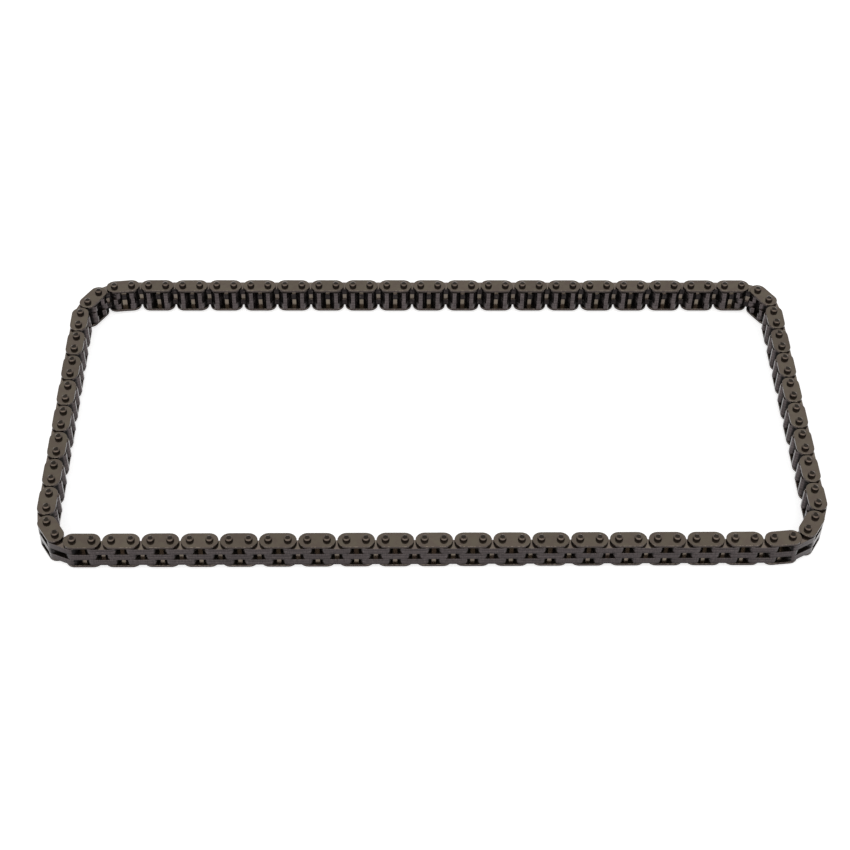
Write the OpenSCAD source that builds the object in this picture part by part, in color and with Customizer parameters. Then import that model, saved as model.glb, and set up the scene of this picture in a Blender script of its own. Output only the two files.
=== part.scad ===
// Timing chain of the inverted-tooth kind, a closed loop laid flat on its pin ends.
// Guide links and inner links follow each other round the loop. A guide link is two plain
// guide plates riveted on two pins with a pack of toothed plates in the middle layer. An
// inner link is two packs of toothed plates that turn on the pins, in the layers above and
// below. The teeth point to the inside of the loop.

/* [Chain] */
// Distance between neighbouring pins
pitch = 8; // [7.8:0.05:9]
// Number of links along each long side of the loop
long_run = 36; // [32:1:40]
// Number of links along each short side of the loop
short_run = 15; // [13:1:19]
// Turns of the chain, pin by pin, round the corner after a long side
turns_a = [6, 24, 28, 14, 18];
// Turns round the corner after a short side, but for the last pin, which takes what is left
turns_b = [8, 24, 34];

/* [Toothed plates] */
// Thickness of one toothed plate
plate_t = 1.6; // [1.4:0.05:1.8]
// Toothed plates side by side in one pack
pack_plates = 2; // [1:1:3]
// Distance from the pin line to the plate's straight back
plate_back = 3.95; // [3.7:0.05:4.1]
// Radius of the plate's round back corners
plate_corner_r = 3.2; // [3:0.05:3.3]
// How far the plate reaches past the pin's axis
plate_end = 3.2; // [3:0.05:3.25]
// Distance from the pin line to the toe tips
toe_reach = 4.2; // [4:0.05:4.5]
// Width of a toe at its tip
toe_w = 2; // [1.8:0.05:2.4]
// Radius of the toe's two corners
toe_r = 0.4; // [0.3:0.05:0.6]
// Distance from the pin line to the bottom of the crotch between the toes
crotch_depth = 1; // [0.8:0.05:1.3]
// Width of the crotch near its bottom
crotch_w = 2.6; // [2.2:0.05:2.8]
// Radius of the crotch's two corners
crotch_r = 0.5; // [0.3:0.05:0.7]

/* [Guide plates] */
// Thickness of a guide plate
guide_t = 1.1; // [0.9:0.05:1.4]
// Width of a guide plate across the chain
guide_w = 7.8; // [7.6:0.05:7.9]
// How far a guide plate reaches past the pin's axis
guide_end = 3.75; // [3.5:0.05:3.75]
// Distance of the guide plate's middle line outwards from the pin line
guide_shift = 0.1; // [0:0.05:0.4]

/* [Pins] */
// Diameter of a pin
pin_d = 3.3; // [3:0.05:3.6]
// Height of the riveted head above the guide plate
head_h = 1.45; // [1.2:0.05:1.6]
// Diameter of the flat on the head
head_flat_d = 2.2; // [1.8:0.05:2.6]
// Height of the cone round that flat
head_cone_h = 0.5; // [0.3:0.05:0.7]

/* [Fits] */
// Clearance all round a pin in the bore of an inner link's plate
pin_clear = 0.05; // [0.02:0.01:0.1]
// Clearance all round a pin where it is held in its own link's plates
rivet_clear = 0.02; // [0.01:0.01:0.04]
// Side play between two plates of one pack
plate_gap = 0.02; // [0.01:0.01:0.05]
// Side play between two packs of toothed plates
pack_gap = 0.05; // [0.02:0.01:0.15]
// Side play between a guide plate and the pack next to it
guide_gap = 0.3; // [0.1:0.05:0.5]

/* [Hidden] */
$fn = 48;
// Rest pose, a closed loop whose second half is the first one turned by half a turn
half_turn = 180;
function sum(v, i = 0) = i < len(v) ? v[i] + sum(v, i + 1) : 0;
long_links = round(long_run);
short_links = round(short_run);
turns_b_all = concat(turns_b, [half_turn - sum(turns_a) - sum(turns_b)]);
corner_a_links = len(turns_a) - 1;
corner_b_links = len(turns_b_all) - 1;
half_links = long_links + corner_a_links + short_links + corner_b_links;
links = 2 * half_links;
turn_after = concat(
    [for (i = [1:long_links - 1]) 0], turns_a,
    [for (i = [1:short_links - 1]) 0], turns_b_all
);
heading = [for (i = 0, a = 0; i < links; a = a + turn_after[i % half_links], i = i + 1) a];
walked = [
    for (i = 0, p = [0, 0]; i < links; p = p + pitch * [cos(heading[i]), sin(heading[i])], i = i + 1) p
];
middle = (walked[0] + walked[half_links]) / 2;
function pin_at(i) = walked[i % links] - middle;
function is_guide(i) = i % 2 == 0;

// The sides and corners of the loop, anticlockwise from the front left, with the number of
// links in each and of the groups that they make. Each link of a corner is alone.
long_groups = 18;
short_groups = 5;
side_names = [
    "front_links", "front_right_corner", "right_links", "rear_right_corner",
    "rear_links", "rear_left_corner", "left_links", "front_left_corner"
];
half_sides = [
    [long_links, long_groups],
    [corner_a_links, corner_a_links],
    [short_links, short_groups],
    [corner_b_links, corner_b_links]
];
sides = concat(half_sides, half_sides);
function first_link(s) = s > 0 ? first_link(s - 1) + sides[s - 1][0] : 0;
function group_start(s, g) = first_link(s) + round(sides[s][0] * g / sides[s][1]);
function two_digits(n) = str(n < 10 ? "0" : "", n);
groups = [
    for (s = [0:len(sides) - 1], g = [0:sides[s][1] - 1])
        [str(side_names[s], "_", two_digits(g + 1)), group_start(s, g), group_start(s, g + 1)]
];

// Heights of the layers above the surface that the pin ends stand on
plate_step = plate_t + plate_gap;
pack_t = pack_plates * plate_step - plate_gap;
low_guide_z = head_h;
low_pack_z = low_guide_z + guide_t + guide_gap;
mid_pack_z = low_pack_z + pack_t + pack_gap;
top_pack_z = mid_pack_z + pack_t + pack_gap;
top_guide_z = top_pack_z + pack_t + guide_gap;
pin_l = top_guide_z + guide_t + head_h;
running_bore_r = pin_d / 2 + pin_clear;
held_bore_r = pin_d / 2 + rivet_clear;

guide_colour = [0.40, 0.37, 0.33];
plate_colour = [0.33, 0.31, 0.32];
pin_colour = [0.30, 0.28, 0.27];

// Centres of the round corners in half of a toothed plate, drawn round its right-hand pin
corner_c = [plate_end - plate_corner_r, plate_corner_r - plate_back];
toe_c = [toe_w / 2 - toe_r, toe_reach - toe_r];
crotch_c = [crotch_w / 2 - crotch_r - pitch / 2, crotch_depth + crotch_r];
toe_inner_c = [-toe_w / 2 + toe_r, toe_reach - toe_r];
// Directions square to the outer flank, which runs on from the back corner to the toe, and to
// the inner flank, which runs from the toe to the crotch
flank_d = toe_c - corner_c;
flank_a = atan2(flank_d[1], flank_d[0]) - acos((plate_corner_r - toe_r) / norm(flank_d));
flank_n = [cos(flank_a), sin(flank_a)];
inner_d = toe_inner_c - crotch_c;
inner_a = atan2(inner_d[1], inner_d[0]) - acos((crotch_r + toe_r) / norm(inner_d));
inner_n = [cos(inner_a), sin(inner_a)];

module half_outline() {
    polygon([
        [-pitch / 2, -plate_back],
        [corner_c[0], -plate_back],
        corner_c + plate_corner_r * flank_n,
        toe_c + toe_r * flank_n,
        [toe_c[0], toe_reach],
        [toe_inner_c[0], toe_reach],
        toe_inner_c - toe_r * inner_n,
        crotch_c + crotch_r * inner_n,
        [crotch_c[0], crotch_depth],
        [-pitch / 2, crotch_depth]
    ]);
    translate(corner_c) circle(plate_corner_r);
    translate(toe_c) circle(toe_r);
    translate(toe_inner_c) circle(toe_r);
}

// Outline of a toothed plate with its two pins at [0, 0] and [pitch, 0]
module plate_outline(hole_r) {
    difference() {
        union() {
            translate([pitch, 0]) half_outline();
            mirror([1, 0]) half_outline();
        }
        for (x = [pitch + crotch_c[0], -crotch_c[0]]) translate([x, crotch_c[1]]) circle(crotch_r);
        for (x = [0, pitch]) translate([x, 0]) circle(hole_r);
    }
}

module plate_pack(z, hole_r) {
    color(plate_colour)
        for (k = [0:pack_plates - 1])
            translate([0, 0, z + k * plate_step]) linear_extrude(plate_t) plate_outline(hole_r);
}

module guide_plate(z) {
    end_r = guide_w / 2;
    end_x = guide_end - end_r;
    color(guide_colour)
        translate([0, 0, z]) linear_extrude(guide_t) difference() {
            translate([0, -guide_shift]) {
                for (x = [-end_x, pitch + end_x]) translate([x, 0]) circle(end_r);
                translate([-end_x, -end_r]) square([pitch + 2 * end_x, guide_w]);
            }
            for (x = [0, pitch]) translate([x, 0]) circle(held_bore_r);
        }
}

module rivet_pin() {
    color(pin_colour) rotate_extrude() polygon([
        [0, 0],
        [head_flat_d / 2, 0],
        [pin_d / 2, head_cone_h],
        [pin_d / 2, pin_l - head_cone_h],
        [head_flat_d / 2, pin_l],
        [0, pin_l]
    ]);
}

module guide_link() {
    for (z = [low_guide_z, top_guide_z]) guide_plate(z);
    plate_pack(mid_pack_z, held_bore_r);
    for (x = [0, pitch]) translate([x, 0, 0]) rivet_pin();
}

module inner_link() {
    for (z = [low_pack_z, top_pack_z]) plate_pack(z, running_bore_r);
}

// Link i, from pin i to the next, where it lies in the loop
module link(i) {
    translate(pin_at(i)) rotate(heading[i]) {
        if (is_guide(i)) guide_link();
        else inner_link();
    }
}

// A group holds its name, its first link and the link after its last
module link_group(g) {
    for (i = [g[1]:g[2] - 1]) link(i);
}

for (g = groups) link_group(g);
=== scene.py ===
"""Looks of an endless inverted-tooth timing chain that lies flat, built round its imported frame.

Each moving body of the frame is a short straight row of links. A Geometry Nodes tree lays
bevelled plates and pins along each row, and the result is one plain mesh for that body.
"""

from __future__ import annotations

import logging
import math
from collections.abc import Iterable, Sequence
from dataclasses import dataclass
from enum import Enum
from itertools import accumulate

import bmesh
import bpy
from mathutils import Matrix, Vector

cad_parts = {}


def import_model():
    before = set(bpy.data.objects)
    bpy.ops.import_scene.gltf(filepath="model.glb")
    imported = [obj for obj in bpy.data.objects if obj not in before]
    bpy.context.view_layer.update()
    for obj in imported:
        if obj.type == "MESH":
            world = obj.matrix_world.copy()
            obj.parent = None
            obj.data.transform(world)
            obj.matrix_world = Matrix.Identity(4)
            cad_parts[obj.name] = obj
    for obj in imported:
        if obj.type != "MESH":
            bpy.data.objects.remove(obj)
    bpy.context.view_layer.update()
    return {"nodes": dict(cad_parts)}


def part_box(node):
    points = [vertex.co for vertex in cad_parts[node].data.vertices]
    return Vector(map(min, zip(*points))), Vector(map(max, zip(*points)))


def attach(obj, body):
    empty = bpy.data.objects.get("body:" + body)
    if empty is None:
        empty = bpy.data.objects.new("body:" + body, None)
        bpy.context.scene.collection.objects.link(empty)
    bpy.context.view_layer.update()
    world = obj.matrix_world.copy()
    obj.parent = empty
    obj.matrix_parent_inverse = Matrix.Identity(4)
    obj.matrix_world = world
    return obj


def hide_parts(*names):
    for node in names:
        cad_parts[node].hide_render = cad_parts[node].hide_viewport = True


LOG = logging.getLogger("timing_chain")
MM = 0.001
# Guide links, which have an even number, and inner links follow each other
LINK_KINDS = 2

Point = tuple[float, float]
Paint = tuple[float, float, float, float]
Ring = list[bmesh.types.BMVert]
Socket = bpy.types.NodeSocket


class Mark(Enum):
    """Names of the attributes that the meshes carry for their materials."""

    RIM = "rim"
    SHEARED = "sheared"
    OWN_PLACE = "own_place"
    TINT = "tint"


def linear(red: int, green: int, blue: int) -> Paint:
    """Turn a screen colour into the linear one that shaders take.

    Args:
        red: Red from 0 to 255.
        green: Green from 0 to 255.
        blue: Blue from 0 to 255.

    Returns:
        The linear colour, with an alpha of 1.
    """
    toe, slope, shift, power = 0.04045, 12.92, 0.055, 2.4
    parts = [c / 255 for c in (red, green, blue)]
    bent = [c / slope if c <= toe else ((c + shift) / (1 + shift)) ** power for c in parts]
    return (*bent, 1.0)


def arc(centre: Point, radius: float, start: float, end: float, steps: int) -> list[Point]:
    """Points along an arc, both ends among them.

    Args:
        centre: Centre of the arc.
        radius: Its radius.
        start: Angle of its first point, in degrees.
        end: Angle of its last point, in degrees.
        steps: Number of chords.

    Returns:
        The points in order.
    """
    angles = [math.radians(start + (end - start) * k / steps) for k in range(steps + 1)]
    return [(centre[0] + radius * math.cos(a), centre[1] + radius * math.sin(a)) for a in angles]


def tangent_angle(here: Point, there: Point, reach: float) -> float:
    """Direction square to a line that touches two circles on its right.

    Args:
        here: Centre of the first circle.
        there: Centre of the second circle.
        reach: How much further the line is from the first centre than from the second.

    Returns:
        The direction, in degrees.
    """
    gap = (there[0] - here[0], there[1] - here[1])
    return math.degrees(math.atan2(gap[1], gap[0]) - math.acos(reach / math.hypot(*gap)))


def inset(outline: Sequence[Point], depth: float) -> list[Point]:
    """Move a closed anticlockwise outline inwards.

    Args:
        outline: The points of the outline.
        depth: How far each edge moves.

    Returns:
        The moved points, as many as before.
    """
    moved = []
    for k, here in enumerate(outline):
        before = Vector(outline[k - 1])
        after = Vector(outline[(k + 1) % len(outline)])
        first = (Vector(here) - before).normalized()
        second = (after - Vector(here)).normalized()
        normal = Vector((-first.y - second.y, first.x + second.x)).normalized()
        stretch = normal.dot(Vector((-first.y, first.x)))
        moved.append((here[0] + normal.x * depth / stretch, here[1] + normal.y * depth / stretch))
    return moved


@dataclass(frozen=True)
class Stack:
    """Heights of the layers of one link, in millimetres above the lower pin ends."""

    plate_t: float = 1.6
    pack_plates: int = 2
    guide_t: float = 1.1
    head_h: float = 1.45
    plate_gap: float = 0.02
    pack_gap: float = 0.05
    guide_gap: float = 0.3

    @property
    def plate_step(self) -> float:
        """Height from one plate of a pack to the next."""
        return self.plate_t + self.plate_gap

    @property
    def pack_t(self) -> float:
        """Height of a pack of toothed plates."""
        return self.pack_plates * self.plate_step - self.plate_gap

    def layers(self) -> dict[str, float]:
        """Heights of the layers of plates.

        Returns:
            The height of the bottom of each layer, by its name.
        """
        pack_step = self.pack_t + self.pack_gap
        steps = {
            "Low guide": self.head_h,
            "Low pack": self.guide_t + self.guide_gap,
            "Middle pack": pack_step,
            "Top pack": pack_step,
            "Top guide": self.pack_t + self.guide_gap,
        }
        return dict(zip(steps, accumulate(steps.values())))

    @property
    def pin_l(self) -> float:
        """Length of a pin over both heads."""
        return self.layers()["Top guide"] + self.guide_t + self.head_h


@dataclass(frozen=True)
class Row:
    """A short straight row of links that moves as one body."""

    body: str
    first_link: int
    links: int
    start: Point
    heading: float

    @property
    def inner_first(self) -> int:
        """1 if the row starts with an inner link, else 0."""
        return self.first_link % LINK_KINDS


@dataclass(frozen=True)
class Loop:
    """The rest pose of the chain, and how its links are grouped into bodies."""

    pitch: float = 8.0
    long_run: int = 36
    short_run: int = 15
    turns_a: tuple[float, ...] = (6, 24, 28, 14, 18)
    turns_b: tuple[float, ...] = (8, 24, 34)
    long_groups: int = 18
    short_groups: int = 5
    half_turn: float = 180.0
    sides: tuple[str, ...] = (
        "front_links",
        "front_right_corner",
        "right_links",
        "rear_right_corner",
        "rear_links",
        "rear_left_corner",
        "left_links",
        "front_left_corner",
    )

    @property
    def all_turns_b(self) -> tuple[float, ...]:
        """Turns of the second corner, its last pin among them."""
        left = self.half_turn - sum(self.turns_a) - sum(self.turns_b)
        return (*self.turns_b, left)

    def turns(self) -> list[float]:
        """Turn of the chain after each link of half the loop, in degrees.

        Returns:
            A turn for each link, positive to the left.
        """
        straight_a = [0.0] * (self.long_run - 1)
        straight_b = [0.0] * (self.short_run - 1)
        return [*straight_a, *self.turns_a, *straight_b, *self.all_turns_b]

    def walk(self) -> tuple[list[float], list[Point]]:
        """Walk round the loop.

        Returns:
            The heading of each link in degrees, and the place of its first pin, measured from
            the middle of the loop.
        """
        turns = self.turns()
        half = len(turns)
        headings, pins = [0.0], [(0.0, 0.0)]
        for link in range(2 * half - 1):
            angle = math.radians(headings[-1])
            x, y = pins[-1]
            pins.append((x + self.pitch * math.cos(angle), y + self.pitch * math.sin(angle)))
            headings.append(headings[-1] + turns[link % half])
        middle = ((pins[0][0] + pins[half][0]) / 2, (pins[0][1] + pins[half][1]) / 2)
        return headings, [(x - middle[0], y - middle[1]) for x, y in pins]

    def rows(self) -> list[Row]:
        """Rows of links in order round the loop, one for each moving body.

        Returns:
            The rows, anticlockwise from the front left.
        """
        corner_a = len(self.turns_a) - 1
        corner_b = len(self.all_turns_b) - 1
        half = [
            (self.long_run, self.long_groups),
            (corner_a, corner_a),
            (self.short_run, self.short_groups),
            (corner_b, corner_b),
        ]
        headings, pins = self.walk()
        rows, first = [], 0
        for side, (links, groups) in zip(self.sides, half + half):
            edges = [first + round(links * g / groups) for g in range(groups + 1)]
            for g, (start, end) in enumerate(zip(edges, edges[1:])):
                name = f"{side}_{g + 1:02d}"
                rows.append(Row(name, start, end - start, pins[start], headings[start]))
            first += links
        return rows


class MarkedMesh:
    """A mesh in the making, whose faces carry the rim and sheared marks."""

    def __init__(self) -> None:
        """Start with an empty mesh."""
        self.shape = bmesh.new()
        self.rim = self.shape.faces.layers.float.new(Mark.RIM.value)
        self.sheared = self.shape.faces.layers.float.new(Mark.SHEARED.value)

    def ring(self, outline: Iterable[Point], height: float) -> Ring:
        """Add the points of an outline at a height, all in millimetres."""
        return [self.shape.verts.new((x * MM, y * MM, height * MM)) for x, y in outline]

    def band(self, lower: Ring, upper: Ring, rim: float = 0.0, sheared: float = 0.0) -> None:
        """Close the gap between two rings with smooth four-sided faces.

        Args:
            lower: The lower ring.
            upper: The upper ring, with as many points.
            rim: The faces' rim mark, from 0 to 1.
            sheared: Their sheared mark, from 0 to 1.
        """
        for k in range(len(lower)):
            face = self.shape.faces.new((lower[k - 1], lower[k], upper[k], upper[k - 1]))
            face.smooth = True
            face[self.rim] = rim
            face[self.sheared] = sheared

    def sharpen(self, ring: Ring) -> None:
        """Keep the edges of a ring sharp."""
        for k, corner in enumerate(ring):
            self.shape.edges.get((ring[k - 1], corner)).smooth = False

    def finish(self, name: str) -> bpy.types.Object:
        """Turn the mesh into an object that isn't in the scene.

        Args:
            name: The object's name.

        Returns:
            The object.
        """
        bmesh.ops.recalc_face_normals(self.shape, faces=self.shape.faces)
        mesh = bpy.data.meshes.new(name)
        self.shape.to_mesh(mesh)
        self.shape.free()
        return bpy.data.objects.new(name, mesh)


@dataclass(frozen=True)
class StampedPlate:
    """A plate stamped from strip, with two bores and worn edges. Sizes are in millimetres."""

    name: str
    thickness: float
    pitch: float
    bore_r: float
    bore_sides: int
    edge: float
    edge_steps: int
    rubbed: float = 0.04

    def outline(self) -> list[Point]:
        """Points of the plate's outline, anticlockwise."""
        raise NotImplementedError

    def rings(self) -> list[tuple[float, float]]:
        """Inset and height of each ring of points, from the bottom face to the top face.

        Returns:
            A pair for each ring.
        """
        steps = [math.pi / 2 * k / self.edge_steps for k in range(self.edge_steps + 1)]
        rise = [(self.edge * (1 - math.sin(a)), self.edge * (1 - math.cos(a))) for a in steps]
        fall = [(back, self.thickness - up) for back, up in reversed(rise)]
        return rise + fall

    def blank(self) -> bpy.types.Object:
        """Build one plate with its first pin's axis at the origin.

        Returns:
            An object that isn't in the scene, with the rim and sheared marks on its faces.
        """
        made = MarkedMesh()
        outline = self.outline()
        rings = [
            made.ring(inset(outline, self.rubbed + depth), height) for depth, height in self.rings()
        ]
        wall = self.edge_steps
        for level, (lower, upper) in enumerate(zip(rings, rings[1:])):
            made.band(lower, upper, rim=float(level != wall), sheared=1.0)
        made.sharpen(rings[wall])
        made.sharpen(rings[wall + 1])
        bores = [
            [made.ring(self.bore(x), z) for x in (0.0, self.pitch)] for z in (0.0, self.thickness)
        ]
        for low, high in zip(*bores):
            made.band(low, high)
        for ring, pair in ((rings[0], bores[0]), (rings[-1], bores[1])):
            self.cap(made.shape, ring, pair)
        return made.finish(self.name)

    def bore(self, x: float) -> list[Point]:
        """Outline of a bore, from its left-hand point on."""
        return arc((x, 0.0), self.bore_r, 180, 540, self.bore_sides)[:-1]

    def cap(self, shape: bmesh.types.BMesh, ring: Ring, bores: list[Ring]) -> None:
        """Cover a flat face of the plate round its bores.

        Args:
            shape: The mesh in the making.
            ring: The outer points of the face, anticlockwise.
            bores: The points of its two bores, from their left-hand points on.
        """
        left = min(range(len(ring)), key=lambda k: ring[k].co.x)
        right = max(range(len(ring)), key=lambda k: ring[k].co.x)
        turned = ring[left:] + ring[:left]
        split = (right - left) % len(ring)
        half = self.bore_sides // 2
        near, far = turned[: split + 1], turned[split:] + turned[:1]
        first, second = bores
        shape.faces.new((*near, *second[half::-1], *first[half::-1]))
        over = [*first[half:], first[0]], [*second[half:], second[0]]
        shape.faces.new((*far, *reversed(over[0]), *reversed(over[1])))


@dataclass(frozen=True)
class GuidePlate(StampedPlate):
    """A plain outer plate with round ends."""

    bore_r: float = 1.7
    bore_sides: int = 16
    edge: float = 0.12
    edge_steps: int = 2
    width: float = 7.8
    end: float = 3.75
    shift: float = 0.1
    end_steps: int = 14

    def outline(self) -> list[Point]:
        """Points of the plate's outline, anticlockwise.

        Returns:
            The points, from the right-hand end on.
        """
        radius = self.width / 2
        past = self.end - radius
        right = arc((self.pitch + past, -self.shift), radius, -90, 90, self.end_steps)
        left = arc((-past, -self.shift), radius, 90, 270, self.end_steps)
        return right + left


@dataclass(frozen=True)
class ToothedPlate(StampedPlate):
    """A plate with two toes that reach to the inside of the loop."""

    bore_r: float = 1.8
    bore_sides: int = 14
    edge: float = 0.06
    edge_steps: int = 1
    back: float = 3.95
    corner_r: float = 3.2
    end: float = 3.2
    toe_reach: float = 4.2
    toe_w: float = 2.0
    toe_r: float = 0.4
    crotch_depth: float = 1.0
    crotch_w: float = 2.6
    crotch_r: float = 0.5
    corner_steps: int = 6
    small_steps: int = 2

    def outline(self) -> list[Point]:
        """Points of the plate's outline, anticlockwise.

        Returns:
            The points, from the right-hand end on.
        """
        corner = (self.end - self.corner_r, self.corner_r - self.back)
        toe = (self.toe_w / 2 - self.toe_r, self.toe_reach - self.toe_r)
        inner_toe = (-toe[0], toe[1])
        crotch_x = self.crotch_w / 2 - self.crotch_r - self.pitch / 2
        crotch = (crotch_x, self.crotch_depth + self.crotch_r)
        flank = tangent_angle(corner, toe, self.corner_r - self.toe_r)
        inner = tangent_angle(crotch, inner_toe, self.crotch_r + self.toe_r)
        half = [
            *arc(corner, self.corner_r, -90, flank, self.corner_steps),
            *arc(toe, self.toe_r, flank, 90, self.small_steps),
            *arc(inner_toe, self.toe_r, 90, inner + 180, self.small_steps),
            *arc(crotch, self.crotch_r, inner, -90, self.small_steps),
        ]
        right = [(self.pitch + x, y) for x, y in half]
        left = [(-x, y) for x, y in reversed(half)]
        return right + left


@dataclass(frozen=True)
class RivetPin:
    """A pin with a flat and a rolled shoulder at both ends. Sizes are in millimetres."""

    name: str
    length: float
    diameter: float = 3.3
    flat_d: float = 2.2
    shoulder_d: float = 3.12
    shoulder_h: float = 0.3
    cone_h: float = 0.5
    soft: float = 0.08
    sides: int = 20

    def profile(self) -> list[Point]:
        """Outline of the pin's right-hand half.

        Returns:
            The radius and height of each ring of points, from the lower end up.
        """
        low = [
            (self.flat_d / 2 - self.soft, 0.0),
            (self.flat_d / 2, self.soft / 2),
            (self.shoulder_d / 2, self.shoulder_h),
            (self.diameter / 2, self.cone_h + self.soft / 2),
        ]
        return low + [(radius, self.length - height) for radius, height in reversed(low)]

    def blank(self) -> bpy.types.Object:
        """Build one pin on the Z axis, standing on its lower end.

        Returns:
            An object that isn't in the scene, with the rim and sheared marks on its faces.
        """
        made = MarkedMesh()
        rings, radii = [], []
        for radius, height in self.profile():
            rings.append(made.ring(arc((0.0, 0.0), radius, 0, 360, self.sides)[:-1], height))
            radii.append(radius)
        for k, (lower, upper) in enumerate(zip(rings, rings[1:])):
            # The flat's edge and the shoulder get the rim mark. Their bright colour there is partly
            # wear and partly painted highlight.
            worn = max(radii[k], radii[k + 1]) <= self.shoulder_d / 2
            made.band(lower, upper, rim=float(worn), sheared=float(not worn))
        for ring, radius in zip(rings, radii):
            if radius == self.shoulder_d / 2:
                made.sharpen(ring)
        for ring, height in ((rings[0], 0.0), (rings[-1], self.length)):
            (middle,) = made.ring([(0.0, 0.0)], height)
            for k, corner in enumerate(ring):
                made.shape.faces.new((ring[k - 1], corner, middle))
        return made.finish(self.name)


@dataclass
class NodeWriter:
    """Short calls that add nodes to a tree and join them."""

    tree: bpy.types.NodeTree

    @classmethod
    def fresh(cls, owner: bpy.types.Material | bpy.types.World) -> NodeWriter:
        """Give a material or a world an empty tree.

        Args:
            owner: The material or world.

        Returns:
            A writer for the tree.
        """
        owner.use_nodes = True
        owner.node_tree.nodes.clear()
        return cls(owner.node_tree)

    def add(
        self, kind: str, given: dict[str, object] | None = None, **settings: object
    ) -> bpy.types.Node:
        """Add a node.

        Args:
            kind: The node's type.
            given: What its inputs get, by their names.
            **settings: Its own settings.

        Returns:
            The new node.
        """
        node = self.tree.nodes.new(kind)
        for key, value in settings.items():
            setattr(node, key, value)
        for socket in node.inputs:
            if given and socket.enabled and socket.name in given:
                self.feed(socket, given[socket.name])
        return node

    def feed(self, socket: Socket, value: object) -> None:
        """Join a socket to another one, or give it a plain value.

        Args:
            socket: The input to feed.
            value: A socket or a plain value.
        """
        if isinstance(value, bpy.types.NodeSocket):
            self.tree.links.new(value, socket)
        else:
            socket.default_value = value

    def through(self, node: bpy.types.Node, *values: object) -> Socket:
        """Feed a node's inputs in order.

        Args:
            node: The node.
            *values: Sockets or plain values.

        Returns:
            The node's first output.
        """
        for socket, value in zip(node.inputs, values):
            self.feed(socket, value)
        return node.outputs[0]

    def result(self, kind: str, given: dict[str, object], **settings: object) -> Socket:
        """Add a node, and return the first output that it uses."""
        node = self.add(kind, given, **settings)
        return next(socket for socket in node.outputs if socket.enabled)

    def math(self, operation: str, *values: object) -> Socket:
        """Do a sum on sockets or numbers with an operation of the Math node."""
        return self.through(self.add("ShaderNodeMath", operation=operation), *values)

    def vector(self, x: object, y: object, z: object) -> Socket:
        """Join three sockets or numbers to a vector."""
        return self.through(self.add("ShaderNodeCombineXYZ"), x, y, z)

    def split(self, vector: Socket) -> tuple[Socket, ...]:
        """Split a vector into three numbers."""
        return tuple(self.add("ShaderNodeSeparateXYZ", {"Vector": vector}).outputs)

    def ramp(self, value: Socket, low: object, high: object) -> Socket:
        """Rise smoothly from 0 to 1 as a value goes from low to high."""
        given = {"Value": value, "From Min": low, "From Max": high}
        return self.result("ShaderNodeMapRange", given, interpolation_type="SMOOTHSTEP")

    def ramp_over(self, value: Socket, reach: tuple[float, float]) -> Socket:
        """Rise smoothly from 0 to 1 from one place to another, both in millimetres."""
        return self.ramp(value, *(place * MM for place in reach))

    def around_one(self, share: Socket, play: float) -> Socket:
        """Spread a share from 0 to 1 over a factor whose middle is 1."""
        return self.math("MULTIPLY_ADD", share, play, 1 - play / 2)

    def mix(self, share: Socket, one: object, other: object) -> Socket:
        """Mix two colours, by the share of the other one."""
        given = {"Factor": share, "A": one, "B": other}
        return self.result("ShaderNodeMix", given, data_type="RGBA")

    def scale(self, colour: object, share: Socket) -> Socket:
        """Make a colour, a socket or three numbers, lighter or darker by a factor."""
        given = {"Vector": colour, "Scale": share}
        return self.result("ShaderNodeVectorMath", given, operation="SCALE")

    def use(self, group: bpy.types.NodeTree, given: dict[str, object]) -> bpy.types.NodeOutputs:
        """Place a shader group, and return its outputs."""
        return self.add("ShaderNodeGroup", given, node_tree=group).outputs

    def seen_directly(self) -> Socket:
        """Tell the rays that see a thing itself from those that it lights.

        Returns:
            The socket with 1 for camera, glossy and transmission rays, else 0.
        """
        path = self.add("ShaderNodeLightPath").outputs
        either = self.math("MAXIMUM", path["Is Camera Ray"], path["Is Glossy Ray"])
        return self.math("MAXIMUM", either, path["Is Transmission Ray"])


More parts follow.
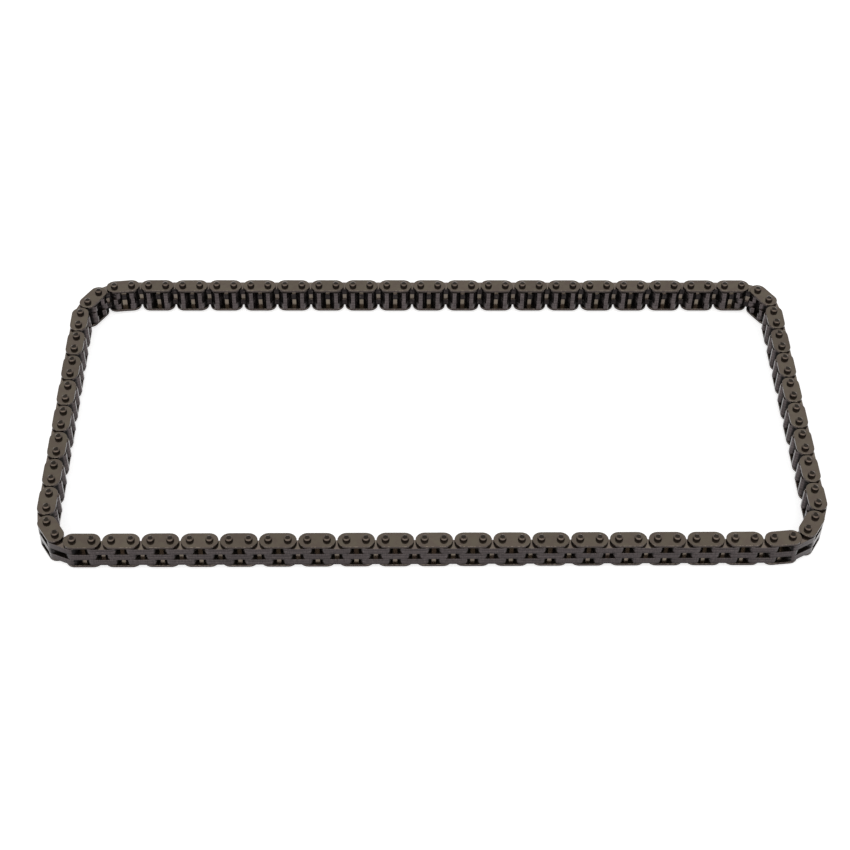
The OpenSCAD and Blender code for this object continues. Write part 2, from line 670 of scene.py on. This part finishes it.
class RowTree:
    """The Geometry Nodes tree that lays plates and pins along one row of links."""

    PINS_PER_LINK = 2
    SEED_STRIDE = 8
    PLAY_DRAWS = (1, 2)
    TWIST_DRAW = 3
    TINT_DRAW = 4
    INPUTS = {
        "NodeSocketInt": ("Links", "Inner first", "Plates in a pack", "Seed"),
        "NodeSocketFloat": ("Pitch", "Plate step", *Stack().layers(), "Heading", "Play", "Twist"),
        "NodeSocketVector": ("Start",),
        "NodeSocketObject": ("Guide shape", "Toothed shape", "Pin shape"),
        "NodeSocketMaterial": ("Guide steel", "Toothed steel", "Pin steel"),
    }

    def __init__(self) -> None:
        """Build the tree."""
        self.tree = bpy.data.node_groups.new("row_of_links", "GeometryNodeTree")
        face = self.tree.interface
        face.new_socket("Geometry", in_out="INPUT", socket_type="NodeSocketGeometry")
        for kind, names in self.INPUTS.items():
            for name in names:
                face.new_socket(name, in_out="INPUT", socket_type=kind)
        face.new_socket("Geometry", in_out="OUTPUT", socket_type="NodeSocketGeometry")
        self.write = NodeWriter(self.tree)
        self.given = self.write.add("NodeGroupInput").outputs
        self.index = self.write.add("GeometryNodeInputIndex").outputs[0]
        self.branches = 0
        plates = self.given["Plates in a pack"]
        guides, inners = self.links_of_each_kind()
        parts = [
            self.plates("Guide", guides, 1, ("Low guide", "Top guide")),
            self.pins(guides),
            self.plates("Toothed", guides, plates, ("Middle pack",)),
            self.plates("Toothed", inners, plates, ("Low pack", "Top pack")),
        ]
        join = self.write.add("GeometryNodeJoinGeometry")
        for part in parts:
            self.write.feed(join.inputs[0], part)
        self.write.add("NodeGroupOutput", {"Geometry": join.outputs[0]})

    def links_of_each_kind(self) -> tuple[tuple[Socket, Socket], tuple[Socket, Socket]]:
        """Count the guide links and the inner links of the row.

        Returns:
            For each kind, how many links there are, and how many links are before the first.
        """
        w, given = self.write, self.given
        more = w.math("ADD", given["Links"], 1)
        less = w.math("SUBTRACT", more, given["Inner first"])
        guides = w.math("FLOOR", w.math("DIVIDE", less, LINK_KINDS))
        inners = w.math("SUBTRACT", given["Links"], guides)
        before_inner = w.math("SUBTRACT", 1, given["Inner first"])
        return (guides, given["Inner first"]), (inners, before_inner)

    def along(self, links: tuple[Socket, Socket], per_link: object) -> tuple[Socket, ...]:
        """Where the piece with this index is.

        Args:
            links: The links that have such pieces, as counted above.
            per_link: Number of the pieces in each of those links.

        Returns:
            The number of all the pieces, the distance of this piece's link along the row, and
            this piece's number in its link.
        """
        w = self.write
        count, first = links
        step = w.math("FLOOR", w.math("DIVIDE", self.index, per_link))
        link = w.math("MULTIPLY_ADD", step, LINK_KINDS, first)
        number = w.math("MODULO", self.index, per_link)
        x = w.math("MULTIPLY", link, self.given["Pitch"])
        return w.math("MULTIPLY", count, per_link), x, number

    def pieces(self, kind: str, count: Socket, x: Socket, z: object) -> Socket:
        """Put a shape at every point of a row, each a little off its place and shade.

        Args:
            kind: Guide, Toothed or Pin, with which the inputs' names start.
            count: Number of pieces.
            x: Distance of each along the row.
            z: Height of each, a socket or a number.

        Returns:
            The geometry socket with the finished pieces.
        """
        w, given = self.write, self.given
        self.branches += 1
        seed = w.math("MULTIPLY_ADD", given["Seed"], self.SEED_STRIDE, self.branches)
        play = w.math("MULTIPLY", given["Play"], -1)
        off = [self.chance(play, given["Play"], seed, draw) for draw in self.PLAY_DRAWS]
        place = w.vector(w.math("ADD", x, off[0]), off[1], z)
        points = w.result("GeometryNodePoints", {"Count": count, "Position": place})
        shape = w.add("GeometryNodeObjectInfo", {"Object": given[f"{kind} shape"]})
        corners = w.add("GeometryNodeInputPosition").outputs[0]
        geometry = shape.outputs["Geometry"]
        geometry = self.store(geometry, Mark.OWN_PLACE, corners, data_type="FLOAT_VECTOR")
        back = w.math("MULTIPLY", given["Twist"], -1)
        turn = w.vector(0, 0, self.chance(back, given["Twist"], seed, self.TWIST_DRAW))
        spread = {"Points": points, "Instance": geometry, "Rotation": turn}
        geometry = w.result("GeometryNodeInstanceOnPoints", spread)
        tint = self.chance(0, 1, seed, self.TINT_DRAW)
        geometry = self.store(geometry, Mark.TINT, tint, data_type="FLOAT", domain="INSTANCE")
        return self.dress(geometry, given[f"{kind} steel"])

    def store(self, geometry: Socket, mark: Mark, value: Socket, **settings: str) -> Socket:
        """Let a geometry carry a mark."""
        kept = {"Geometry": geometry, "Name": mark.value, "Value": value}
        return self.write.result("GeometryNodeStoreNamedAttribute", kept, **settings)

    def chance(self, low: object, high: object, seed: Socket, draw: int) -> Socket:
        """A random number for each piece, from a fixed seed.

        Args:
            low: The least number.
            high: The greatest number.
            seed: The seed of the pieces' kind and row.
            draw: Which of the pieces' draws this is.

        Returns:
            The socket with the number.
        """
        w = self.write
        own_seed = w.math("MULTIPLY_ADD", seed, self.SEED_STRIDE, draw)
        given = {"Min": low, "Max": high, "ID": self.index, "Seed": own_seed}
        return w.result("FunctionNodeRandomValue", given, data_type="FLOAT")

    def dress(self, pieces: Socket, steel: Socket) -> Socket:
        """Turn and move the pieces to where the row is, and give them their material.

        Args:
            pieces: The geometry with the pieces.
            steel: The material.

        Returns:
            The geometry socket with the finished pieces.
        """
        w = self.write
        turn = w.vector(0, 0, self.given["Heading"])
        move = {"Geometry": pieces, "Translation": self.given["Start"], "Rotation": turn}
        moved = w.result("GeometryNodeTransform", move)
        real = w.result("GeometryNodeRealizeInstances", {"Geometry": moved})
        return w.result("GeometryNodeSetMaterial", {"Geometry": real, "Material": steel})

    def pins(self, links: tuple[Socket, Socket]) -> Socket:
        """Lay a row of pins.

        Args:
            links: The links that have pins.

        Returns:
            The geometry socket with the pins.
        """
        count, x, end = self.along(links, self.PINS_PER_LINK)
        x = self.write.math("MULTIPLY_ADD", end, self.given["Pitch"], x)
        return self.pieces("Pin", count, x, 0)

    def plates(
        self, kind: str, links: tuple[Socket, Socket], in_pack: object, layers: Sequence[str]
    ) -> Socket:
        """Lay a row of packs of plates, in each of one or two layers.

        Args:
            kind: Guide or Toothed.
            links: The links that have such packs.
            in_pack: Number of plates in a pack.
            layers: Names of the lowest and the highest layer.

        Returns:
            The geometry socket with the plates.
        """
        w, given = self.write, self.given
        low, high = given[layers[0]], given[layers[-1]]
        count, x, number = self.along(links, w.math("MULTIPLY", in_pack, len(layers)))
        layer = w.math("FLOOR", w.math("DIVIDE", number, in_pack))
        foot = w.math("MULTIPLY_ADD", layer, w.math("SUBTRACT", high, low), low)
        plate = w.math("MODULO", number, in_pack)
        z = w.math("MULTIPLY_ADD", plate, given["Plate step"], foot)
        return self.pieces(kind, count, x, z)

    def apply(self, name: str, values: dict[str, object]) -> bpy.types.Object:
        """Run the tree once.

        Args:
            name: Name of the new piece.
            values: The tree's inputs by name.

        Returns:
            A new object in the scene with the result as its plain mesh.
        """
        made = bpy.data.objects.new(name, bpy.data.meshes.new(name))
        bpy.context.scene.collection.objects.link(made)
        modifier = made.modifiers.new("row", "NODES")
        modifier.node_group = self.tree
        for item in self.tree.interface.items_tree:
            if item.in_out == "INPUT" and item.name in values:
                modifier[item.identifier] = values[item.name]
        graph = bpy.context.evaluated_depsgraph_get()
        mesh = bpy.data.meshes.new_from_object(made.evaluated_get(graph), depsgraph=graph)
        mesh.name = name
        made.modifiers.remove(modifier)
        made.data = mesh
        return made


class Effects:
    """Shader node groups that more than one steel uses.

    A range holds the noise at which an effect starts and the noise at which it is full.
    """

    STAIN_RANGE = (0.34, 0.68)
    GRAIN_RANGE = (0.28, 0.74)
    NO_WEAR_AND_GLINT_START = 0.75
    WEAR_AND_GLINT_SHARE = 0.5
    WEAR_AND_GLINT_FADE = 0.2
    LINE_STRETCH = 0.08
    LINE_RANGE = (0.3, 0.7)
    BAND_RANGE = (0.5, 0.68)
    BAND_WAVE = 0.5
    NOISE_MIDDLE = 0.5

    def __init__(self) -> None:
        """Build the groups."""
        self.mottle = self.build_mottle()
        self.wear_and_glint = self.build_wear_and_glint()
        self.shear = self.build_shear()

    @staticmethod
    def group(
        name: str, inputs: dict[str, float | None], outputs: Sequence[str]
    ) -> tuple[NodeWriter, bpy.types.NodeOutputs, bpy.types.NodeInputs]:
        """Start a group.

        Args:
            name: The group's name.
            inputs: Its inputs with their usual values, None for a vector.
            outputs: Its outputs, all of them numbers.

        Returns:
            A writer for the group's tree, what it is given, and where its results go.
        """
        tree = bpy.data.node_groups.new(name, "ShaderNodeTree")
        for label, usual in inputs.items():
            kind = "NodeSocketVector" if usual is None else "NodeSocketFloat"
            socket = tree.interface.new_socket(label, in_out="INPUT", socket_type=kind)
            if usual is not None:
                socket.default_value = usual
        for label in outputs:
            tree.interface.new_socket(label, in_out="OUTPUT", socket_type="NodeSocketFloat")
        w = NodeWriter(tree)
        return w, w.add("NodeGroupInput").outputs, w.add("NodeGroupOutput").inputs

    @staticmethod
    def noise(w: NodeWriter, place: Socket, size: Socket, detail: float) -> Socket:
        """Noise from 0 to 1.

        Args:
            w: The writer of the group's tree.
            place: Where to read it.
            size: Size of its cells in millimetres.
            detail: How fine its finest part is.

        Returns:
            The socket with the noise.
        """
        cells = w.math("DIVIDE", 1 / MM, size)
        given = {"Vector": place, "Scale": cells, "Detail": detail}
        return w.result("ShaderNodeTexNoise", given, noise_dimensions="3D")

    def build_mottle(self) -> bpy.types.NodeTree:
        """Soft stains of oil and heat, with a fine tumbled grain.

        Returns:
            The group.
        """
        inputs = {"Place": None, "Stain size": 2.6, "Grain size": 0.14}
        w, given, out = self.group("stains_and_grain", inputs, ("Stain", "Grain"))
        stains = self.noise(w, given["Place"], given["Stain size"], detail=3.0)
        grains = self.noise(w, given["Place"], given["Grain size"], detail=2.0)
        w.feed(out["Stain"], w.ramp(stains, *self.STAIN_RANGE))
        w.feed(out["Grain"], w.ramp(grains, *self.GRAIN_RANGE))
        return w.tree

    def build_wear_and_glint(self) -> bpy.types.NodeTree:
        """Bright patches along the rounded edges: partly wear, partly painted highlight.

        Returns:
            The group.
        """
        inputs = {"Place": None, "Rim": 0.0, "Patch size": 0.9, "Amount": 0.6}
        w, given, out = self.group("edge_wear_and_glint", inputs, ("Wear and glint",))
        patches = self.noise(w, given["Place"], given["Patch size"], detail=2.0)
        shift = w.math("MULTIPLY", given["Amount"], self.WEAR_AND_GLINT_SHARE)
        start = w.math("SUBTRACT", self.NO_WEAR_AND_GLINT_START, shift)
        kept = w.ramp(patches, start, w.math("ADD", start, self.WEAR_AND_GLINT_FADE))
        w.feed(out["Wear and glint"], w.math("MULTIPLY", kept, given["Rim"]))
        return w.tree

    def build_shear(self) -> bpy.types.NodeTree:
        """Upright lines and a bright band that a stamping tool leaves on a cut edge.

        Returns:
            The group.
        """
        sizes = {"Thickness": 1.6, "Line width": 0.12, "Wave size": 1.0}
        inputs = {"Place": None, "Height": 0.0, **sizes}
        w, given, out = self.group("cut_edge", inputs, ("Lines", "Band"))
        x, y, z = w.split(given["Place"])
        flat = w.vector(x, y, w.math("MULTIPLY", z, self.LINE_STRETCH))
        lines = self.noise(w, flat, given["Line width"], detail=1.5)
        share = w.math("DIVIDE", given["Height"], w.math("MULTIPLY", given["Thickness"], MM))
        waves = self.noise(w, given["Place"], given["Wave size"], detail=1.0)
        wave = w.math("SUBTRACT", waves, self.NOISE_MIDDLE)
        level = w.math("MULTIPLY_ADD", wave, self.BAND_WAVE, share)
        w.feed(out["Lines"], w.ramp(lines, *self.LINE_RANGE))
        w.feed(out["Band"], w.ramp(level, *self.BAND_RANGE))
        return w.tree


@dataclass(frozen=True)
class PaintedRecessShade:
    """Painted shade on a cut edge: dark in its rounded corners and its crotch, light on its back
    and lighter still on its toes.

    The places are in millimetres: distances across the plate from its pin line, and for the
    crotch the distance along the plate from its middle. The middle itself is at half the pitch.
    """

    middle: float
    back: tuple[float, float] = (-3.65, -3.2)
    toe: tuple[float, float] = (2.2, 3.6)
    crotch: tuple[float, float] = (0.8, 1.25)
    matt: tuple[float, float] = (-3.0, -2.4)
    left: float = 0.1
    left_in_crotch: float = 0.34
    polish: float = 0.4
    dullness: float = 0.4

    def share(self, w: NodeWriter, along: Socket, across: Socket) -> tuple[Socket, Socket]:
        """How much painted shade darkens the cut edge, and how dull it is, by its place on the
        plate.

        Args:
            w: The writer of the material's tree.
            along: Distance along the plate from its first pin, in metres.
            across: Distance across the plate, in metres.

        Returns:
            A share of the edge's own brightness, low where shade is painted, and what its roughness
            gains.
        """
        off_middle = w.math("ABSOLUTE", w.math("SUBTRACT", along, self.middle * MM))
        flank = w.ramp_over(off_middle, self.crotch)
        # Painted shade: away from the back and the toes the edge keeps only a share of its colour,
        # a larger share at the bottom of the crotch.
        left = w.math("MULTIPLY_ADD", flank, self.left - self.left_in_crotch, self.left_in_crotch)
        back = w.math("SUBTRACT", 1.0, w.ramp_over(across, self.back))
        toe = w.ramp_over(across, self.toe)
        rubbed = w.math("MULTIPLY_ADD", toe, 1 + self.polish, back)
        light = w.math("MULTIPLY_ADD", rubbed, w.math("SUBTRACT", 1.0, left), left)
        inside = w.ramp_over(across, self.matt)
        matt_part = w.math("MULTIPLY", inside, w.math("SUBTRACT", 1.0, toe))
        dull = w.math("MULTIPLY", w.math("MULTIPLY", matt_part, flank), self.dullness)
        return light, dull


@dataclass(frozen=True)
class PaintedInnerLight:
    """Painted light that makes faces turned to the middle of the stack lighter.

    The heights are in millimetres: the middle of the stack, and the distances from it at which the
    painted light ends.
    """

    middle: float
    reach: tuple[float, float]
    gain: float = 0.5

    def share(self, w: NodeWriter, place: Socket) -> Socket:
        """How much lighter than the outside a face is, by its height in the stack.

        Args:
            w: The writer of the material's tree.
            place: The place of the point that is shaded, in metres.

        Returns:
            The socket with a factor for the colour.
        """
        _, _, height = w.split(place)
        away = w.math("ABSOLUTE", w.math("SUBTRACT", height, self.middle * MM))
        outside = w.ramp_over(away, self.reach)
        return w.math("MULTIPLY_ADD", outside, -self.gain, 1 + self.gain)


@dataclass(frozen=True)
class SteelFinish:
    """One finish of oiled steel. Colours are linear, with alpha, and sizes in millimetres."""

    name: str
    face: Paint
    stain: Paint
    cut: Paint
    bright: Paint
    thickness: float
    metallic: float = 0.95
    roughness: float = 0.09
    roughness_play: float = 0.04
    stain_size: float = 2.6
    grain_size: float = 0.14
    grain_depth: float = 0.004
    wear_and_glint: float = 0.6
    tint_play: float = 0.16
    cut_roughness: float = 0.05
    line_width: float = 0.12
    line_play: float = 0.24
    band_base: float = 0.86
    band_play: float = 0.22
    speck_play: float = 0.14
    worn_polish: float = 0.06
    recess_shade: PaintedRecessShade | None = None
    inside: PaintedInnerLight | None = None

    def build(self, effects: Effects) -> bpy.types.Material:
        """Build the material.

        Args:
            effects: The shared node groups.

        Returns:
            The material.
        """
        material = bpy.data.materials.new(self.name)
        w = NodeWriter.fresh(material)
        place = w.add("ShaderNodeTexCoord").outputs["Object"]
        marks = {mark: self.read(w, mark) for mark in Mark}
        along, across, height = w.split(marks[Mark.OWN_PLACE])
        sizes = {"Stain size": self.stain_size, "Grain size": self.grain_size}
        mottle = w.use(effects.mottle, {"Place": place, **sizes})
        # Bright rim colour: partly wear, partly painted highlight along the rounded edges.
        worn = {"Place": place, "Rim": marks[Mark.RIM], "Amount": self.wear_and_glint}
        wear_and_glint = w.use(effects.wear_and_glint, worn)["Wear and glint"]
        sizes = {"Thickness": self.thickness, "Line width": self.line_width}
        shear = w.use(effects.shear, {"Place": place, "Height": height, **sizes})
        rolled = w.mix(mottle["Stain"], self.face, self.stain)
        # Painted light on the faces turned to the middle of the stack.
        if self.inside:
            rolled = w.scale(rolled, self.inside.share(w, place))
        band = w.math("MULTIPLY_ADD", shear["Band"], self.band_play, self.band_base)
        lines = w.around_one(shear["Lines"], self.line_play)
        share = w.math("MULTIPLY", band, lines)
        rougher = self.cut_roughness
        # Painted shade on the cut edges of the toothed plates, in their corners and crotch, which
        # also get rougher there.
        if self.recess_shade:
            light, dull = self.recess_shade.share(w, along, across)
            share = w.math("MULTIPLY", share, light)
            rougher = w.math("ADD", dull, self.cut_roughness)
        # The cut colour on the upright sides is darker than the faces: partly the steel's own cut
        # tone, partly painted shade.
        cut = w.scale(self.cut[:3], share)
        colour = w.mix(marks[Mark.SHEARED], rolled, cut)
        colour = w.mix(wear_and_glint, colour, self.bright)
        speck = w.around_one(mottle["Grain"], self.speck_play)
        shade = w.around_one(marks[Mark.TINT], self.tint_play)
        colour = w.scale(colour, w.math("MULTIPLY", speck, shade))
        rough = w.math("MULTIPLY_ADD", mottle["Stain"], self.roughness_play, self.roughness)
        rough = w.math("MULTIPLY_ADD", marks[Mark.SHEARED], rougher, rough)
        polish = w.math("MULTIPLY", wear_and_glint, self.worn_polish)
        rough = w.math("SUBTRACT", rough, polish)
        relief = w.math("MULTIPLY_ADD", shear["Lines"], marks[Mark.SHEARED], mottle["Grain"])
        depth = self.grain_depth * MM
        bump = w.result("ShaderNodeBump", {"Height": relief, "Distance": depth, "Strength": 1.0})
        surface = {
            "Base Color": colour,
            "Metallic": self.metallic,
            "Roughness": rough,
            "Normal": bump,
        }
        shader = w.result("ShaderNodeBsdfPrincipled", surface)
        w.add("ShaderNodeOutputMaterial", {"Surface": shader})
        return material

    @staticmethod
    def read(w: NodeWriter, mark: Mark) -> Socket:
        """Read a mark that the mesh carries."""
        node = w.add("ShaderNodeAttribute", attribute_name=mark.value)
        return node.outputs["Vector" if mark is Mark.OWN_PLACE else "Fac"]


@dataclass(frozen=True)
class Chain:
    """The whole chain: its sizes, its three steels, and the way that its rows are built.

    Play and fit are in millimetres, and the twist is in degrees.
    """

    loop: Loop = Loop()
    stack: Stack = Stack()
    play: float = 0.02
    twist: float = 0.2
    fit: float = 0.1
    # Guide steel: its darker cut colour is partly painted shade, its bright colour partly painted
    # highlight, and its inner faces get painted light.
    guide_finish: SteelFinish = SteelFinish(
        name="guide_plate_steel",
        face=linear(97, 89, 78),
        stain=linear(93, 83, 75),
        cut=linear(66, 59, 56),
        bright=linear(112, 103, 93),
        thickness=Stack().guide_t,
        inside=PaintedInnerLight(middle=Stack().pin_l / 2, reach=(5.5, 5.9)),
    )
    # Toothed steel: its darker cut colour is partly painted shade, its bright colour partly painted
    # highlight, and its corners and crotch get painted shade.
    tooth_finish: SteelFinish = SteelFinish(
        name="toothed_plate_steel",
        face=linear(113, 104, 93),
        stain=linear(106, 95, 88),
        cut=linear(66, 60, 60),
        bright=linear(98, 91, 88),
        thickness=Stack().plate_t,
        wear_and_glint=0.5,
        tint_play=0.24,
        line_width=0.3,
        line_play=0.5,
        recess_shade=PaintedRecessShade(middle=Loop().pitch / 2),
    )
    # Pin steel: its bright colour on the shoulders is partly painted highlight.
    pin_finish: SteelFinish = SteelFinish(
        name="pin_steel",
        face=linear(49, 44, 39),
        stain=linear(43, 38, 34),
        cut=linear(50, 44, 41),
        bright=linear(86, 76, 68),
        thickness=Stack().pin_l,
        wear_and_glint=1.1,
    )

    def common_values(self, effects: Effects) -> dict[str, object]:
        """Build one of each piece and its steel, and gather what is the same for every row.

        Args:
            effects: The shared node groups.

        Returns:
            Inputs of the tree by name.
        """
        stack, pitch = self.stack, self.loop.pitch
        values = {
            "Plates in a pack": stack.pack_plates,
            "Pitch": pitch * MM,
            "Plate step": stack.plate_step * MM,
            **{layer: height * MM for layer, height in stack.layers().items()},
            "Play": self.play * MM,
            "Twist": math.radians(self.twist),
        }
        made = {
            "Guide": (GuidePlate("guide_plate", stack.guide_t, pitch), self.guide_finish),
            "Toothed": (ToothedPlate("toothed_plate", stack.plate_t, pitch), self.tooth_finish),
            "Pin": (RivetPin("rivet_pin", stack.pin_l), self.pin_finish),
        }
        for name, (piece, finish) in made.items():
            values |= {f"{name} shape": piece.blank(), f"{name} steel": finish.build(effects)}
        return values

    def build(self, nodes: dict[str, bpy.types.Object]) -> list[bpy.types.Object]:
        """Build every row and let it ride on its body.

        Args:
            nodes: The frame's nodes by name.

        Returns:
            The finished pieces.
        """
        values = self.common_values(Effects())
        tree = RowTree()
        pieces = []
        for number, row in enumerate(self.loop.rows()):
            own = {
                "Links": row.links,
                "Inner first": row.inner_first,
                "Start": (row.start[0] * MM, row.start[1] * MM, 0.0),
                "Heading": math.radians(row.heading),
                "Seed": number,
            }
            piece = tree.apply(f"{row.body}_plates_and_pins", values | own)
            self.check(piece, row)
            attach(piece, row.body)
            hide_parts(row.body)
            LOG.info("%s: %d faces", piece.name, len(piece.data.polygons))
            pieces.append(piece)
        missing = set(nodes) - {row.body for row in self.loop.rows()}
        if missing:
            raise ValueError(f"no row stands for {sorted(missing)}")
        return pieces

    def check(self, piece: bpy.types.Object, row: Row) -> None:
        """Stop if a row isn't where the frame has its node.

        Args:
            piece: The row's finished piece.
            row: The row.
        """
        low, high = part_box(row.body)
        for axis in range(3):
            reach = [corner.co[axis] for corner in piece.data.vertices]
            off = max(abs(min(reach) - low[axis]), abs(max(reach) - high[axis]))
            if off > self.fit * MM:
                raise ValueError(f"{row.body} is {off / MM:.2f} mm off its node")


@dataclass(frozen=True)
class Lamp:
    """A soft far lamp. Azimuth 0 is the viewer's side, and angles are in degrees."""

    name: str
    strength: float
    azimuth: float
    elevation: float
    angle: float

    def build(self) -> None:
        """Put the lamp in the scene."""
        lamp = bpy.data.lights.new(self.name, "SUN")
        lamp.energy = self.strength
        lamp.angle = math.radians(self.angle)
        placed = bpy.data.objects.new(self.name, lamp)
        tip, turn = math.radians(90 - self.elevation), math.radians(-self.azimuth)
        placed.rotation_euler = (tip, 0.0, turn)
        bpy.context.scene.collection.objects.link(placed)


@dataclass(frozen=True)
class Studio:
    """Floor, world, lamps and camera. Lengths are in metres and angles in degrees."""

    floor_half: float = 6.0
    floor_drop: float = 0.00005
    floor_colour: Paint = (0.8, 0.8, 0.8, 1.0)
    floor_glow: float = 0.65
    ambient: float = 0.35
    rear: Lamp = Lamp("rear", strength=0.05, azimuth=195.0, elevation=62.0, angle=14.0)
    front: Lamp = Lamp("front", strength=1.6, azimuth=4.0, elevation=50.0, angle=100.0)
    eye: tuple[float, float, float] = (-0.0213, -0.5509, 0.5668)
    azimuth: float = 1.936
    elevation: float = 45.776
    roll: float = 1.298
    lens: float = 74.97
    sensor: float = 36.0
    nearest: float = 0.01

    def build(self) -> None:
        """Build the studio."""
        self.floor()
        self.world()
        self.rear.build()
        self.front.build()
        self.camera()

    def floor(self) -> None:
        """A pale floor that is white where no shadow falls."""
        half = self.floor_half
        corners = [(-half, -half), (half, -half), (half, half), (-half, half)]
        mesh = bpy.data.meshes.new("floor")
        mesh.from_pydata([(x, y, -self.floor_drop) for x, y in corners], [], [(0, 1, 2, 3)])
        floor = bpy.data.objects.new("floor", mesh)
        bpy.context.scene.collection.objects.link(floor)
        material = bpy.data.materials.new("pale_floor")
        w = NodeWriter.fresh(material)
        matt = w.result("ShaderNodeBsdfDiffuse", {"Color": self.floor_colour})
        strength = w.math("MULTIPLY", w.seen_directly(), self.floor_glow)
        glow = w.result("ShaderNodeEmission", {"Strength": strength})
        both = w.through(w.add("ShaderNodeAddShader"), matt, glow)
        w.add("ShaderNodeOutputMaterial", {"Surface": both})
        mesh.materials.append(material)

    def world(self) -> None:
        """A world that is white to look at and lights the chain only softly."""
        world = bpy.data.worlds.new("studio")
        w = NodeWriter.fresh(world)
        rest = w.math("MULTIPLY_ADD", w.seen_directly(), 1 - self.ambient, self.ambient)
        given = {"Color": (1.0, 1.0, 1.0, 1.0), "Strength": rest}
        w.add("ShaderNodeOutputWorld", {"Surface": w.result("ShaderNodeBackground", given)})
        bpy.context.scene.world = world

    def camera(self) -> None:
        """The photograph's camera."""
        data = bpy.data.cameras.new("camera")
        data.lens = self.lens
        data.sensor_width = self.sensor
        data.clip_start = self.nearest
        camera = bpy.data.objects.new("camera", data)
        camera.matrix_world = Matrix.Translation(self.eye)
        for angle, axis in ((-self.azimuth, "Z"), (90 - self.elevation, "X"), (self.roll, "Z")):
            camera.matrix_world @= Matrix.Rotation(math.radians(angle), 4, axis)
        bpy.context.scene.collection.objects.link(camera)
        bpy.context.scene.camera = camera


def main() -> None:
    """Build the studio and the chain."""
    logging.basicConfig(level=logging.INFO, format="%(name)s %(message)s")
    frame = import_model()
    scene = bpy.context.scene
    scene.view_settings.view_transform = "Standard"
    Studio().build()
    pieces = Chain().build(frame["nodes"])
    faces = sum(len(piece.data.polygons) for piece in pieces)
    LOG.info("%d pieces with %d faces in all", len(pieces), faces)


if __name__ == "__main__":
    main()
